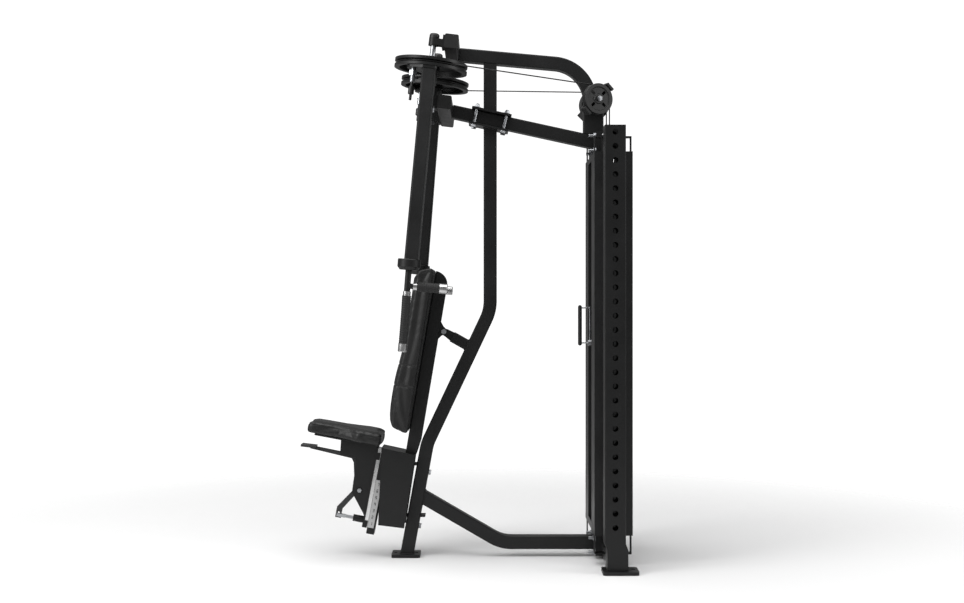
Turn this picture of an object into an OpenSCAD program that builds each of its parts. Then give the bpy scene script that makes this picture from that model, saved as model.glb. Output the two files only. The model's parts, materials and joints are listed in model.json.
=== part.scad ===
// Selectorised chest fly and rear deltoid machine with a guarded weight stack.
// +Z is up, the seat faces -Y, the tower stands at +Y and X = 0 is the plane of symmetry.
// The origin is on the floor, under the middle of the machine's outer box.

/* [Tower] */
// Outer width of the square rack uprights
upright_w = 75; // [70:1:76]
// Pitch of the holes along the uprights
hole_pitch = 50; // [50:1:50]
// Diameter of the upright holes
hole_d = 21; // [15:1:25]
// Distance of each upright's centre from the middle plane
upright_x = 319.5; // [319:0.5:321]
// Height of the top end of the uprights
upright_top = 1590; // [1585:1:1600]

/* [Weight stack] */
// Vertical pitch of the weight plates
plate_pitch = 33; // [32:0.5:33]
// Number of plates that rest below the top one
resting_plates = 20; // [4:1:20]
// Diameter of the guide rods
guide_d = 25; // [18:1:26]

/* [Arms] */
// Distance of each arm pivot from the middle plane
pivot_x = 200; // [198:1:202]
// Lean of the pivot axes towards the tower, in degrees
tilt = 6.6; // [6.4:0.1:6.8]
// Outer diameter of the cam discs
cam_d = 266; // [260:1:268]
// Diameter of the pivot shafts
shaft_d = 20; // [16:1:20]

/* [Seat] */
// Lean of the seat rail, in degrees
rail_lean = 10.7; // [10.5:0.1:10.9]
// Pitch of the seat's height positions
seat_step = 25; // [24:0.5:25]
// Thickness of the seat pad
seat_thick = 46; // [40:1:56]

/* [Frame tube] */
// Width of the square frame tubes
tube_w = 50; // [50:1:50]
// Wall thickness of the frame tubes
tube_t = 3; // [2:0.5:4]

/* [Hidden] */
// Hairline left between a bend and the straight stretch that it is butt-welded to.
weld = 0.02;
black = "#26272a";
steel = "#c9ccd0";
pivot_y = -121;
pivot_z = 1822;
cam_r = 125;
cable_r = 2.4;
leave_deg = 22.7;
pulley_x = 82;
pulley_y = 497;
pulley_z = 1722;
pulley_yaw = 22.5;
wrap_r = 50;
stack_y = 540;
stack_z = 131.5;
top_plate_z = stack_z + resting_plates * plate_pitch;
pin_z = top_plate_z + plate_pitch / 2;
drop_x = pulley_x - wrap_r * sin(pulley_yaw);
drop_y = pulley_y + wrap_r * cos(pulley_yaw);
rail_y = -372;
rail_z = 135;
handle_lean = 4.5;

// Points of a rounded rectangle, with small flats at its corners.
function rr(w, d, r, n = 3) = [
    for (q = [0:3], k = [0:n])
        let (a = 90 * q + 90 * k / n, sx = (q == 0 || q == 3) ? 1 : -1, sy = q < 2 ? 1 : -1)
        [sx * (w / 2 - r) + r * cos(a), sy * (d / 2 - r) + r * sin(a)]
];

// Section of a box tube.
module section(w, d, t = tube_t, r = 5) {
    difference() {
        polygon(rr(w, d, r));
        if (t > 0) square([w - 2 * t, d - 2 * t], center = true);
    }
}

// Straight rod between two points.
module rod(a, b, r) {
    v = b - a;
    translate(a)
        rotate([0, acos(v.z / norm(v)), atan2(v.y, v.x)])
            cylinder(h = norm(v), r = r, $fn = 24);
}

// Box tube along a path of points in the YZ plane, bent with the given radii.
function heading(p, q) = atan2(q.y - p.y, q.x - p.x);
function round3(x) = round(x * 1000) / 1000;
module bent_tube(path, radii, w = tube_w, t = tube_t) {
    n = len(path) - 1;
    dir = [for (i = [0:n - 1]) heading(path[i], path[i + 1])];
    trn = [for (i = [0:n]) (i == 0 || i == n) ? 0 : round3(dir[i] - dir[i - 1])];
    cut = [for (i = [0:n]) (i == 0 || i == n) ? 0 : radii[i - 1] * tan(abs(trn[i]) / 2)];
    runs = [for (i = [0:n - 1]) round3(norm(path[i + 1] - path[i]) - cut[i] - cut[i + 1])];
    rotate([90, 0, 90])
        translate(path[0])
            rotate([0, 0, dir[0]])
                tube_run(runs, trn, radii, w, t, 0);
}
module tube_run(runs, trn, radii, w, t, i) {
    a = i == 0 ? 0 : weld;
    b = i == len(runs) - 1 ? 0 : weld;
    translate([a, 0, 0])
        rotate([0, 90, 0])
            linear_extrude(runs[i] - a - b)
                section(w, w, t);
    if (i < len(runs) - 1) {
        s = sign(trn[i + 1]);
        r = radii[i];
        translate([runs[i], s * r, 0]) {
            rotate([0, 0, s > 0 ? -90 : 90 + trn[i + 1]])
                rotate_extrude(angle = abs(trn[i + 1]), $fn = 96)
                    translate([r, 0])
                        section(w, w, t);
            rotate([0, 0, trn[i + 1]])
                translate([0, -s * r, 0])
                    tube_run(runs, trn, radii, w, t, i + 1);
        }
    }
}

// Box given by its two opposite corners.
module block(a, b) {
    translate(a)
        cube(b - a);
}

// Bolt along +Z with a hex head under z = 0 and a hex nut on top of the grip length.
module bolt(d, grip, tail = 6) {
    translate([0, 0, -0.62 * d])
        cylinder(h = 0.62 * d, d = 1.75 * d, $fn = 6);
    cylinder(h = grip + 0.8 * d + tail, d = d, $fn = 32);
    translate([0, 0, grip])
        cylinder(h = 0.8 * d, d = 1.75 * d, $fn = 6);
}

// Frames in which the repeated assemblies are drawn.
module mirrored(s) {
    if (s > 0) children();
    else mirror([1, 0, 0]) children();
}
module arm_frame(s = 1) {
    mirrored(s)
        translate([pivot_x, pivot_y, pivot_z])
            rotate([-tilt, 0, 0])
                children();
}
module yoke_frame(s) {
    mirrored(s)
        translate([pulley_x, pulley_y, pulley_z])
            rotate([0, 0, pulley_yaw])
                children();
}
module rail_frame() {
    translate([0, rail_y, rail_z])
        rotate([-rail_lean, 0, 0])
            children();
}
module handle_frame(s) {
    mirrored(s)
        translate([405, -190, 1094])
            rotate([-handle_lean, 0, 0])
                children();
}
module both() {
    for (s = [-1, 1]) mirrored(s) children();
}

// ---- Tower ----
module uprights() {
    color(black)
        for (s = [-1, 1])
            difference() {
                translate([s * upright_x, 536.5, 107])
                    linear_extrude(upright_top - 107)
                        section(upright_w, upright_w, 3, 4);
                for (i = [0:28])
                    translate([s * upright_x - 50, 536.5, 165 + i * hole_pitch])
                        rotate([0, 90, 0])
                            cylinder(h = 100, d = hole_d, $fn = 48);
            }
}

module rear_feet() {
    color(black)
        both() {
            translate([282, 0, 0])
                rotate([90, 0, 90])
                    linear_extrude(75)
                        polygon([[499, 107], [574, 107], [582, 86], [582, 12], [508, 12], [508, 86]]);
            difference() {
                translate([327.5, 556, 0])
                    linear_extrude(12)
                        polygon(rr(101, 128, 12));
                translate([319.5, 603, -1])
                    cylinder(h = 14, d = 16, $fn = 48);
            }
        }
}

module flange_holes(z1, z2) {
    for (sx = [-1, 1], z = [z1, z2])
        translate([sx * 58, 480, z])
            rotate([-90, 0, 0])
                cylinder(h = 60, d = 12, $fn = 32);
}

module base_crossmember() {
    color(black)
        difference() {
            union() {
                translate([-282, 540, 37])
                    rotate([0, 90, 0])
                        linear_extrude(564)
                            section(50, 50);
                block([-75, 503, 12], [75, 515, 92]);
            }
            flange_holes(24, 78);
        }
}

module top_crossmember() {
    color(black)
        difference() {
            union() {
                translate([-282, 540, 1552.5])
                    rotate([0, 90, 0])
                        linear_extrude(564)
                            section(75, 50);
                block([-75, 505, 1520], [75, 515, 1604]);
            }
            for (s = [-1, 1])
                translate([s * drop_x, drop_y, 1500])
                    cylinder(h = 100, d = 24, $fn = 48);
            flange_holes(1532, 1588);
        }
}

module guide_rods() {
    color(steel)
        for (s = [-1, 1])
            translate([s * 115, stack_y, 62])
                cylinder(h = 1453, d = guide_d, $fn = 64);
}

module stack_bumpers() {
    color("#151515")
        for (s = [-1, 1])
            difference() {
                translate([s * 115, stack_y, 62])
                    cylinder(h = stack_z - 62, d = 48, $fn = 48);
                translate([s * 115, stack_y, 61])
                    cylinder(h = 80, d = guide_d + 0.2, $fn = 64);
            }
}

module weight_plate(h) {
    difference() {
        translate([0, stack_y, 0])
            linear_extrude(h)
                polygon(rr(300, 100, 6));
        for (s = [-1, 1])
            translate([s * 115, stack_y, -1])
                cylinder(h = h + 2, d = guide_d + 3, $fn = 48);
        translate([0, stack_y, -1])
            cylinder(h = h + 2, d = 34, $fn = 48);
        translate([0, stack_y - 60, plate_pitch / 2])
            rotate([-90, 0, 0])
                cylinder(h = 60, d = 13, $fn = 32);
    }
}

module weight_plates() {
    color("#1d1e20")
        for (i = [0:resting_plates - 1])
            translate([0, 0, stack_z + i * plate_pitch])
                weight_plate(plate_pitch - 0.4);
}

module top_weight_plate() {
    color("#1d1e20")
        translate([0, 0, top_plate_z])
            weight_plate(plate_pitch - 0.4);
}

module head_plate() {
    color("#1d1e20")
        difference() {
            translate([0, stack_y, top_plate_z + plate_pitch])
                linear_extrude(25)
                    polygon(rr(300, 100, 6));
            for (s = [-1, 1])
                translate([s * 115, stack_y, 800])
                    cylinder(h = 80, d = guide_d + 1, $fn = 48);
            for (s = [-1, 1])
                translate([s * drop_x, drop_y, 800])
                    cylinder(h = 80, d = 12, $fn = 48);
            translate([0, stack_y, 800])
                cylinder(h = 80, d = 28, $fn = 48);
        }
}

module selector_stem() {
    color(steel)
        difference() {
            union() {
                translate([0, stack_y, stack_z + 4])
                    cylinder(h = top_plate_z + plate_pitch + 25 - stack_z - 4, d = 28, $fn = 48);
                translate([0, stack_y, top_plate_z + plate_pitch + 25])
                    cylinder(h = 14, d = 42, $fn = 6);
            }
            for (i = [0:resting_plates])
                translate([0, stack_y - 20, stack_z + (i + 0.5) * plate_pitch])
                    rotate([-90, 0, 0])
                        cylinder(h = 40, d = 11, $fn = 32);
        }
}

module cable_anchors() {
    color(steel)
        for (s = [-1, 1])
            translate([s * drop_x, drop_y, 0]) {
                translate([0, 0, top_plate_z + plate_pitch])
                    cylinder(h = 45, d = 12, $fn = 48);
                translate([0, 0, top_plate_z + plate_pitch + 25])
                    cylinder(h = 9, d = 21, $fn = 6);
                translate([0, 0, top_plate_z + plate_pitch + 45])
                    cylinder(h = 12, d1 = 12, d2 = 7, $fn = 48);
            }
}

// ---- Selector pin ----
module selector_pin() {
    color(steel) {
        translate([0, 467, pin_z])
            rotate([-90, 0, 0])
                cylinder(h = 84, d = 10, $fn = 48);
        translate([0, 467, pin_z])
            rotate([-90, 0, 0])
                cylinder(h = 16, d = 24, $fn = 48);
        rod([0, 437, pin_z], [0, 467, pin_z], 2.6);
        rod([0, 437, pin_z + 133], [0, 475, pin_z + 133], 2.6);
        rod([0, 475, pin_z + 133], [0, 475, pin_z + 11], 2.6);
        translate([0, 475, pin_z + 133])
            sphere(r = 2.6, $fn = 24);
    }
}

module selector_grip() {
    color("#141414")
        translate([0, 437, pin_z])
            difference() {
                union() {
                    translate([0, 0, -3])
                        cylinder(h = 139, d = 15, $fn = 48);
                    translate([0, 0, -3])
                        sphere(d = 15, $fn = 48);
                    translate([0, 0, 136])
                        sphere(d = 15, $fn = 48);
                }
                for (z = [0, 133])
                    translate([0, 0, z])
                        rotate([-90, 0, 0])
                            cylinder(h = 20, r = 2.6, $fn = 24);
            }
}

// ---- Guards ----
module guard_half(y_face, y_seam, y_tube) {
    s = y_face < y_seam ? 1 : -1;
    both() {
        block([75, min(y_face, y_face + 2 * s), 112], [211, max(y_face, y_face + 2 * s), 1512]);
        block([75, min(y_face, y_face + 14 * s), 112], [77, max(y_face, y_face + 14 * s), 1512]);
        block([209, min(y_face, y_seam), 112], [211, max(y_face, y_seam), 1512]);
        for (z = [40, 1470])
            block([150, min(y_face + 2 * s, y_face + 5 * s), z],
                  [190, max(y_face + 2 * s, y_face + 5 * s), z + 100]);
        for (z = [40, 1566])
            block([150, min(y_face + 2 * s, y_tube), z], [190, max(y_face + 2 * s, y_tube), z + 4]);
    }
}

module front_guard() {
    color(black) {
        guard_half(474.6, 543, 515);
        for (z = [[112, 139], [1491, 1512]])
            block([-76, 474.6, z[0]], [76, 476.6, z[1]]);
    }
}

module rear_guard() {
    color(black)
        difference() {
            union() {
                guard_half(614, 545, 565);
                block([-80, 612, 112], [80, 614, 1512]);
            }
            block([-74, 590, 100], [74, 611.9, 1600]);
        }
}

// ---- Main frame ----
main_path = [[-220, 6], [-142, 427.5], [96, 931], [96, 1624]];
module main_frame_tube() {
    color(black)
        difference() {
            union() {
                difference() {
                    bent_tube(main_path, [160, 160]);
                    block([-60, -400, -50], [60, 0, 12]);
                    translate([0, 96, 1653.5])
                        rotate([-12.3, 0, 0])
                            block([-60, -100, -33], [60, 100, 60]);
                }
                difference() {
                    translate([0, -222.5, 0])
                        linear_extrude(12)
                            polygon(rr(100, 108, 8));
                    for (y = [-262, -183])
                        translate([0, y, -1])
                            cylinder(h = 14, d = 13, $fn = 48);
                }
                translate([0, 96, 1653.5])
                    rotate([-12.3, 0, 0])
                        flange_plate(-33);
            }
        }
}

// Space that the lower, straight stretch of the main tube takes.
module post_space() {
    translate([0, -220, 6])
        rotate([-10.484, 0, 0])
            block([-40, -25.3, -20], [40, 25.3, 395]);
}

// Space that the main tube's lower bend takes.
module bend_space() {
    translate([0, -142, 427.5])
        rotate([-18, 0, 0])
            block([-40, -26.5, -60], [40, 30, 120]);
}

// Space that the middle, steeper stretch of the main tube takes.
module brace_cut() {
    translate([0, -142, 427.5])
        rotate([-25.3, 0, 0])
            block([-40, -25, 100], [40, 45, 520]);
}

// Bolted flange across a beam, drilled for four bolts.
module flange_plate(z) {
    difference() {
        block([-48, -76, z], [48, 76, z + 8]);
        for (sx = [-1, 1], sy = [-1, 1])
            translate([sx * 36, sy * 57, z - 5])
                cylinder(h = 20, d = 12, $fn = 32);
    }
}

module lower_frame_tube() {
    color(black) {
        difference() {
            bent_tube([[-178, 236], [138, 53], [491, 53]], [150]);
            post_space();
        }
        difference() {
            block([-75, 491, 12], [75, 503, 92]);
            flange_holes(24, 78);
        }
    }
}

module top_beam() {
    color(black) {
        bent_tube([[-20.2, 1899.6], [475, 1855], [475, 1708.02]], [146]);
        difference() {
            translate([0, 96, 1600])
                linear_extrude(270)
                    section(tube_w, tube_w);
            translate([0, 96, 1653.5])
                rotate([-12.3, 0, 0])
                    block([-60, -200, -100], [60, 200, 33]);
            translate([0, -60, 1903.2])
                rotate([-5.148, 0, 0])
                    block([-60, -50, -25.05], [60, 400, 60]);
        }
        translate([0, 96, 1653.5])
            rotate([-12.3, 0, 0])
                flange_plate(25);
    }
}

module sloped_beam() {
    color(black) {
        difference() {
            translate([0, 96, 1653.5])
                rotate([-12.3, 0, 0])
                    rotate([-90, 0, 0])
                        translate([0, 0, -180])
                            linear_extrude(620)
                                section(tube_w, tube_w);
            block([-60, 493, 1400], [60, 600, 1700]);
            arm_frame()
                block([-400, 0, -200], [100, 90, 0]);
        }
        difference() {
            block([-75, 493, 1520], [75, 505, 1604]);
            flange_holes(1532, 1588);
        }
    }
}

module cross_tubes() {
    color(black)
        translate([0, pivot_y, pivot_z])
            rotate([-tilt, 0, 0])
                for (z = [92, -129.5])
                    translate([-250, 65, z])
                        rotate([0, 90, 0])
                            linear_extrude(500)
                                section(tube_w, tube_w);
}

module tube_end_caps() {
    color("#101010")
        translate([0, pivot_y, pivot_z])
            rotate([-tilt, 0, 0])
                for (z = [92, -129.5], s = [-1, 1])
                    mirrored(s)
                        translate([250, 65, z])
                            rotate([0, 90, 0]) {
                                linear_extrude(4)
                                    polygon(rr(50, 50, 5));
                                translate([0, 0, -14])
                                    linear_extrude(14)
                                        square(43.6, center = true);
                            }
}

module arm_bearings() {
    color(black)
        for (s = [-1, 1])
            arm_frame(s)
                difference() {
                    union() {
                        block([-30, 32, 68], [30, 40, 116]);
                        translate([0, 0, 76])
                            cylinder(h = 28, d = 38, $fn = 64);
                        block([-19, 0, 78], [19, 34, 102]);
                        block([-30, 32, -154], [30, 40, -105]);
                        translate([0, 0, -146])
                            cylinder(h = 30, d = 44, $fn = 64);
                        block([-22, 0, -146], [22, 34, -116]);
                    }
                    for (z = [70, -150])
                        translate([0, 0, z])
                            cylinder(h = 40, d = shaft_d + 0.15, $fn = 64);
                }
}

// ---- Top pulleys ----
module pulley_mast() {
    color(black)
        difference() {
            translate([0, 487, 1530])
                linear_extrude(170)
                    section(50, 76, 4);
            translate([0, 96, 1653.5])
                rotate([-12.3, 0, 0])
                    block([-60, 100, -200], [60, 600, 25]);
            block([-60, 493, 1400], [60, 600, 1604]);
        }
    color(black)
        block([-45, 447, 1700], [45, 527, 1708]);
}

module pulley_yokes() {
    color(black)
        for (s = [-1, 1]) {
            difference() {
                yoke_frame(s)
                    union() {
                        rotate([45, 0, 0])
                            block([-20, -71, -16.5], [-15, 71, 16.5]);
                        rotate([45, 0, 0])
                            for (d = [-71, 62])
                                block([-16, d, -16.5], [14, d + 9, 16.5]);
                        translate([-80, 0, 0])
                            rotate([0, 90, 0])
                                cylinder(h = 60, d = 33, $fn = 48);
                    }
                block([-25.02, 400, 1600], [25.02, 600, 1800]);
                block([-46, 440, 1699.9], [46, 530, 1708.1]);
                mirrored(-s)
                    block([-0.5, 400, 1600], [200, 600, 1800]);
                yoke_frame(s)
                    translate([-30, 0, 0])
                        rotate([0, 90, 0])
                            cylinder(h = 60, d = 12, $fn = 48);
            }
        }
}

module pulley_axles() {
    color(steel)
        for (s = [-1, 1])
            yoke_frame(s)
                rotate([0, 90, 0]) {
                    translate([0, 0, -30])
                        cylinder(h = 56, d = 12, $fn = 48);
                    translate([0, 0, 13])
                        cylinder(h = 8, d = 21, $fn = 6);
                }
}

module pulley(s) {
    color("#1b1b1c")
        yoke_frame(s)
            rotate([0, 90, 0])
                difference() {
                    rotate_extrude($fn = 128)
                        polygon([
                            [6.1, -12.5], [17, -12.5], [20, -8], [42, -8], [45, -12.5], [56.5, -12.5],
                            [57.5, -11.5], [57.5, -9], [48.5, -3.4], [wrap_r - cable_r - 0.4, -1.6],
                            [wrap_r - cable_r - 0.4, 1.6], [48.5, 3.4], [57.5, 9], [57.5, 11.5],
                            [56.5, 12.5], [45, 12.5], [42, 8], [20, 8], [17, 12.5], [6.1, 12.5]
                        ]);
                    for (a = [0:90:270])
                        rotate([0, 0, a + 45])
                            translate([31, 0, -20])
                                linear_extrude(40)
                                    polygon(rr(17, 11, 3));
                }
}
module left_pulley() pulley(1);
module right_pulley() pulley(-1);

// ---- Cables ----
function tilted(v) = [v.x, v.y * cos(tilt) + v.z * sin(tilt), v.z * cos(tilt) - v.y * sin(tilt)];
cam_out = [pivot_x, pivot_y, pivot_z]
    + tilted([cam_r * cos(leave_deg), cam_r * sin(leave_deg), 0]);
wrap_deg = 86;
pulley_in = [
    pulley_x - wrap_r * cos(wrap_deg) * sin(pulley_yaw),
    pulley_y + wrap_r * cos(wrap_deg) * cos(pulley_yaw),
    pulley_z + wrap_r * sin(wrap_deg)
];

module cable_spans() {
    dir = (pulley_in - cam_out) / norm(pulley_in - cam_out);
    color("#0e0e0e")
        for (s = [-1, 1]) {
            arm_frame(s)
                rotate([0, 0, leave_deg - 172])
                    rotate_extrude(angle = 171.9, $fn = 128)
                        translate([cam_r, 0])
                            circle(r = cable_r, $fn = 24);
            mirrored(s)
                rod(cam_out + 0.1 * dir, pulley_in - 0.1 * dir, cable_r);
            yoke_frame(s)
                rotate([0, 90, 0])
                    rotate([0, 0, 90])
                        rotate_extrude(angle = wrap_deg - 0.1, $fn = 128)
                            translate([wrap_r, 0])
                                circle(r = cable_r, $fn = 24);
        }
}

module cable_drops() {
    color("#0e0e0e")
        for (s = [-1, 1])
            translate([s * drop_x, drop_y, top_plate_z + plate_pitch + 57])
                cylinder(h = pulley_z - top_plate_z - plate_pitch - 57, r = cable_r, $fn = 24);
}

// ---- Cams and arms ----
module cam(s) {
    color(black)
        arm_frame(s)
            difference() {
                rotate_extrude($fn = 192)
                    polygon([
                        [10, -16], [32, -16], [32, 4], [112, 4], [115, -16], [cam_d / 2, -16],
                        [cam_d / 2, -6], [cam_r - 0.5, -3.4], [cam_r - cable_r - 0.4, -1.6],
                        [cam_r - cable_r - 0.4, 1.6], [cam_r - 0.5, 3.4], [cam_d / 2, 6],
                        [cam_d / 2, 16], [112, 16], [109, 12], [34, 12], [31, 16], [10, 16]
                    ]);
                for (k = [-2:1])
                    rotate([0, 0, -36.9 + 15 * k])
                        translate([95, 0, 0])
                            cylinder(h = 20, d = 11, $fn = 48);
            }
}
module left_cam() cam(1);
module right_cam() cam(-1);

module cam_shaft(s) {
    color(steel)
        arm_frame(s) {
            translate([0, 0, -158])
                cylinder(h = 278, d = shaft_d, $fn = 64);
            translate([0, 0, 104.5])
                cylinder(h = 12, d = 32, $fn = 6);
            translate([0, 0, -158])
                cylinder(h = 11.5, d = 32, $fn = 6);
        }
}
module left_cam_shaft() cam_shaft(1);
module right_cam_shaft() cam_shaft(-1);

module cam_bush(s) {
    color("#b8903e")
        arm_frame(s)
            translate([0, 0, 16])
                difference() {
                    cylinder(h = 11, d = 36, $fn = 64);
                    translate([0, 0, -1])
                        cylinder(h = 13, d = shaft_d, $fn = 64);
                }
}
module left_cam_bush() cam_bush(1);
module right_cam_bush() cam_bush(-1);

module arm(s) {
    color(black)
        arm_frame(s)
            difference() {
                union() {
                    difference() {
                        translate([97, 0, -26])
                            rotate([1.817, -8.957, 0])
                                translate([0, 0, -750])
                                    linear_extrude(776)
                                        section(60, 50, 3, 6);
                        block([0, -100, -23], [300, 100, 100]);
                        translate([205, 15.1, -731.1])
                            rotate([tilt - handle_lean, 0, 0])
                                block([-90, -90, -60], [90, 90, 19]);
                    }
                    translate([0, 0, -26])
                        linear_extrude(9)
                            polygon([
                                [-28, -16], [-28, 16], [-16, 28], [124, 28], [130, 22], [130, -22],
                                [106, -70], [90, -80], [62, -80], [48, -70], [-16, -28]
                            ]);
                    translate([0, 0, -66])
                        cylinder(h = 45, d = 52, $fn = 64);
                }
                translate([0, 0, -80])
                    cylinder(h = 80, d = shaft_d + 0.15, $fn = 64);
                translate([76, -57, -40])
                    cylinder(h = 40, d = 18, $fn = 48);
            }
}
module left_arm() arm(1);
module right_arm() arm(-1);

module collar(s) {
    color(black)
        handle_frame(s)
            difference() {
                rotate_extrude($fn = 96)
                    polygon([[0, 19], [38.5, 19], [40.5, 17], [40.5, -8], [32, -19], [0, -19]]);
                translate([0, 0, -30])
                    cylinder(h = 41, d = 22.2, $fn = 64);
            }
}
module left_collar() collar(1);
module right_collar() collar(-1);

// ---- Pop pins that set the arms' start position ----
module pin_barrel(s) {
    color(steel)
        arm_frame(s)
            translate([76, -57, 0])
                difference() {
                    union() {
                        translate([0, 0, -52])
                            cylinder(h = 18, d = 30, $fn = 6);
                        translate([0, 0, -75])
                            cylinder(h = 58, d = 18, $fn = 48);
                    }
                    translate([0, 0, -90])
                        cylinder(h = 80, d = 10.15, $fn = 48);
                }
}
module left_pin_barrel() pin_barrel(1);
module right_pin_barrel() pin_barrel(-1);

module pop_pin(s) {
    color("#1c1c1d")
        arm_frame(s)
            translate([76, -57, 0]) {
                translate([0, 0, -141])
                    cylinder(h = 142, d = 10, $fn = 48);
                translate([0, 0, -120])
                    rotate_extrude($fn = 48)
                        polygon([[0, 0], [9, 0], [11, 3], [11, 26], [9, 29], [0, 29]]);
            }
}
module left_pop_pin() pop_pin(1);
module right_pop_pin() pop_pin(-1);

// ---- Handles ----
module handle_frame_rods(s) {
    color(black)
        handle_frame(s) {
            translate([0, 0, -282])
                cylinder(h = 292, d = 22, $fn = 64);
            translate([0, 0, -75])
                rotate([-90, 0, 0])
                    cylinder(h = 118, d = 19, $fn = 64);
        }
}
module left_handle_frame() handle_frame_rods(1);
module right_handle_frame() handle_frame_rods(-1);

module handle_grips(s) {
    color("#191919")
        handle_frame(s) {
            difference() {
                translate([0, 0, -277])
                    cylinder(h = 168, d = 32, $fn = 64);
                translate([0, 0, -290])
                    cylinder(h = 190, d = 22, $fn = 64);
            }
            translate([0, 0, -75])
                rotate([-90, 0, 0])
                    difference() {
                        translate([0, 0, 34])
                            cylinder(h = 79, d = 35, $fn = 64);
                        translate([0, 0, 30])
                            cylinder(h = 90, d = 19, $fn = 64);
                    }
        }
}
module left_handle_grips() handle_grips(1);
module right_handle_grips() handle_grips(-1);

module handle_fittings(s) {
    color(steel)
        handle_frame(s) {
            difference() {
                translate([0, 0, -109])
                    cylinder(h = 15, d = 27, $fn = 64);
                translate([0, 0, -120])
                    cylinder(h = 40, d = 22, $fn = 64);
            }
            difference() {
                translate([0, 0, -306])
                    rotate_extrude($fn = 64)
                        polygon([[0, 0], [14, 0], [16, 2], [16, 29], [0, 29]]);
                translate([0, 0, -282])
                    cylinder(h = 10, d = 22, $fn = 64);
            }
            translate([0, 0, -75])
                rotate([-90, 0, 0]) {
                    difference() {
                        translate([0, 0, 21])
                            cylinder(h = 13, d = 30, $fn = 64);
                        cylinder(h = 60, d = 19, $fn = 64);
                    }
                    difference() {
                        translate([0, 0, 113])
                            rotate_extrude($fn = 64)
                                polygon([[0, 0], [17.5, 0], [17.5, 26], [15.5, 28], [0, 28]]);
                        translate([0, 0, 100])
                            cylinder(h = 18, d = 19, $fn = 64);
                    }
                }
        }
}
module left_handle_fittings() handle_fittings(1);
module right_handle_fittings() handle_fittings(-1);

// ---- Back rest ----
back_path = [[-199, 392], [-84, 1076]];
back_lean = 9.544;
bolt_y = -79.4;
bolt_z = 850.9;
module back_frame() {
    translate([0, back_path[0].x, back_path[0].y])
        rotate([-back_lean, 0, 0])
            children();
}
module back_support_tube() {
    color(black) {
        difference() {
            back_frame()
                difference() {
                    union() {
                        linear_extrude(680)
                            section(tube_w, tube_w);
                        block([-24, -24, 630], [24, 24, 692]);
                        linear_extrude(694)
                            section(tube_w, tube_w);
                        for (s = [-1, 1])
                            mirrored(s)
                                rotate([90, 0, 90])
                                    translate([0, 0, 14])
                                        linear_extrude(6)
                                            polygon([
                                                [24, 440], [36, 456], [50, 464], [54, 472],
                                                [50, 481], [36, 492], [24, 508]
                                            ]);
                    }
                    difference() {
                        block([-30, -25, 644], [30, 30, 700]);
                        translate([-40, -25, 644])
                            rotate([0, 90, 0])
                                cylinder(h = 80, r = 50, $fn = 96);
                    }
                }
            post_space();
            bend_space();
            translate([0, -312, 416.3])
                rotate([-12.09, 0, 0])
                    block([-40, -20, -60], [40, 160, 0]);
            translate([-40, bolt_y, bolt_z])
                rotate([0, 90, 0])
                    cylinder(h = 80, d = 12, $fn = 32);
        }
        difference() {
            union() {
                translate([0, 20, 793])
                    rotate([60.5, 0, 0])
                        linear_extrude(78)
                            section(40, 40);
                translate([0, 20, 793])
                    rotate([60.5, 0, 0])
                        rotate([90, 0, 90])
                            translate([0, 0, -13.5])
                                linear_extrude(27)
                                    polygon([
                                        [-18, 72], [-13, 100], [-11, 120], [-4, 128],
                                        [6, 128], [13, 120], [16, 106], [18, 72]
                                    ]);
            }
            translate([-40, bolt_y, bolt_z])
                rotate([0, 90, 0])
                    cylinder(h = 80, d = 12, $fn = 32);
            brace_cut();
        }
    }
}

module back_pad_board() {
    color("#1a1a1a")
        back_frame()
            translate([0, -25, 85])
                rotate([90, 0, 0])
                    linear_extrude(10)
                        translate([0, 303])
                            polygon(rr(270, 598, 30));
}

module back_pad() {
    color("#202022")
        back_frame()
            difference() {
                translate([0, -26, 75])
                    rotate([90, 0, 90])
                        translate([0, 0, -150])
                            linear_extrude(300)
                                polygon([
                                    [0, 0], [-60, 7], [-68, 13], [-74, 55], [-78, 102], [-78.5, 173],
                                    [-76, 215], [-72, 253], [-67, 305], [-65, 355], [-64, 522],
                                    [-65, 600], [-60, 614], [-52, 622], [0, 631]
                                ]);
                translate([0, -20, 85])
                    rotate([90, 0, 0])
                        linear_extrude(15.1)
                            translate([0, 303])
                                polygon(rr(270.2, 598.2, 30));
            }
}

// ---- Seat ----
module seat_housing() {
    side = [[-312, 416], [-186, 389], [-227.5, 114], [-268, 119], [-325, 126]];
    color(black) {
        rail_frame()
            translate([0, 22, -45])
                linear_extrude(325)
                    section(60, 30, 3, 4);
        for (s = [-1, 1])
            mirrored(s)
                rotate([90, 0, 90])
                    translate([0, 0, 60])
                        linear_extrude(5)
                            polygon(side);
        difference() {
            rotate([90, 0, 90])
                translate([0, 0, -61])
                    linear_extrude(122) {
                        polygon([[-312, 416], [-307, 415], [-320, 125.5], [-325, 126]]);
                        polygon([[-312, 416], [-186, 389], [-187, 384], [-312.5, 411]]);
                    }
            rail_frame()
                block([29, 5, -60], [32, 40, 165]);
        }
        difference() {
            for (z = [150, 345])
                block([-61, -318, z], [61, -150, z + 8]);
            post_space();
            block([-100, -180, 0], [100, 0, 120]);
            for (s = [-1, 1])
                mirrored(s)
                    block([25, -230, 100], [100, -100, 400]);
            block([-100, -140, 100], [100, 0, 400]);
        }
    }
}

module seat_rail() {
    color(steel)
        rail_frame()
            difference() {
                block([-25, -6, -20], [25, 7, 280]);
                for (i = [0:6])
                    translate([0, -10, i * seat_step])
                        rotate([-90, 0, 0])
                            cylinder(h = 30, d = 13, $fn = 48);
            }
}

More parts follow.
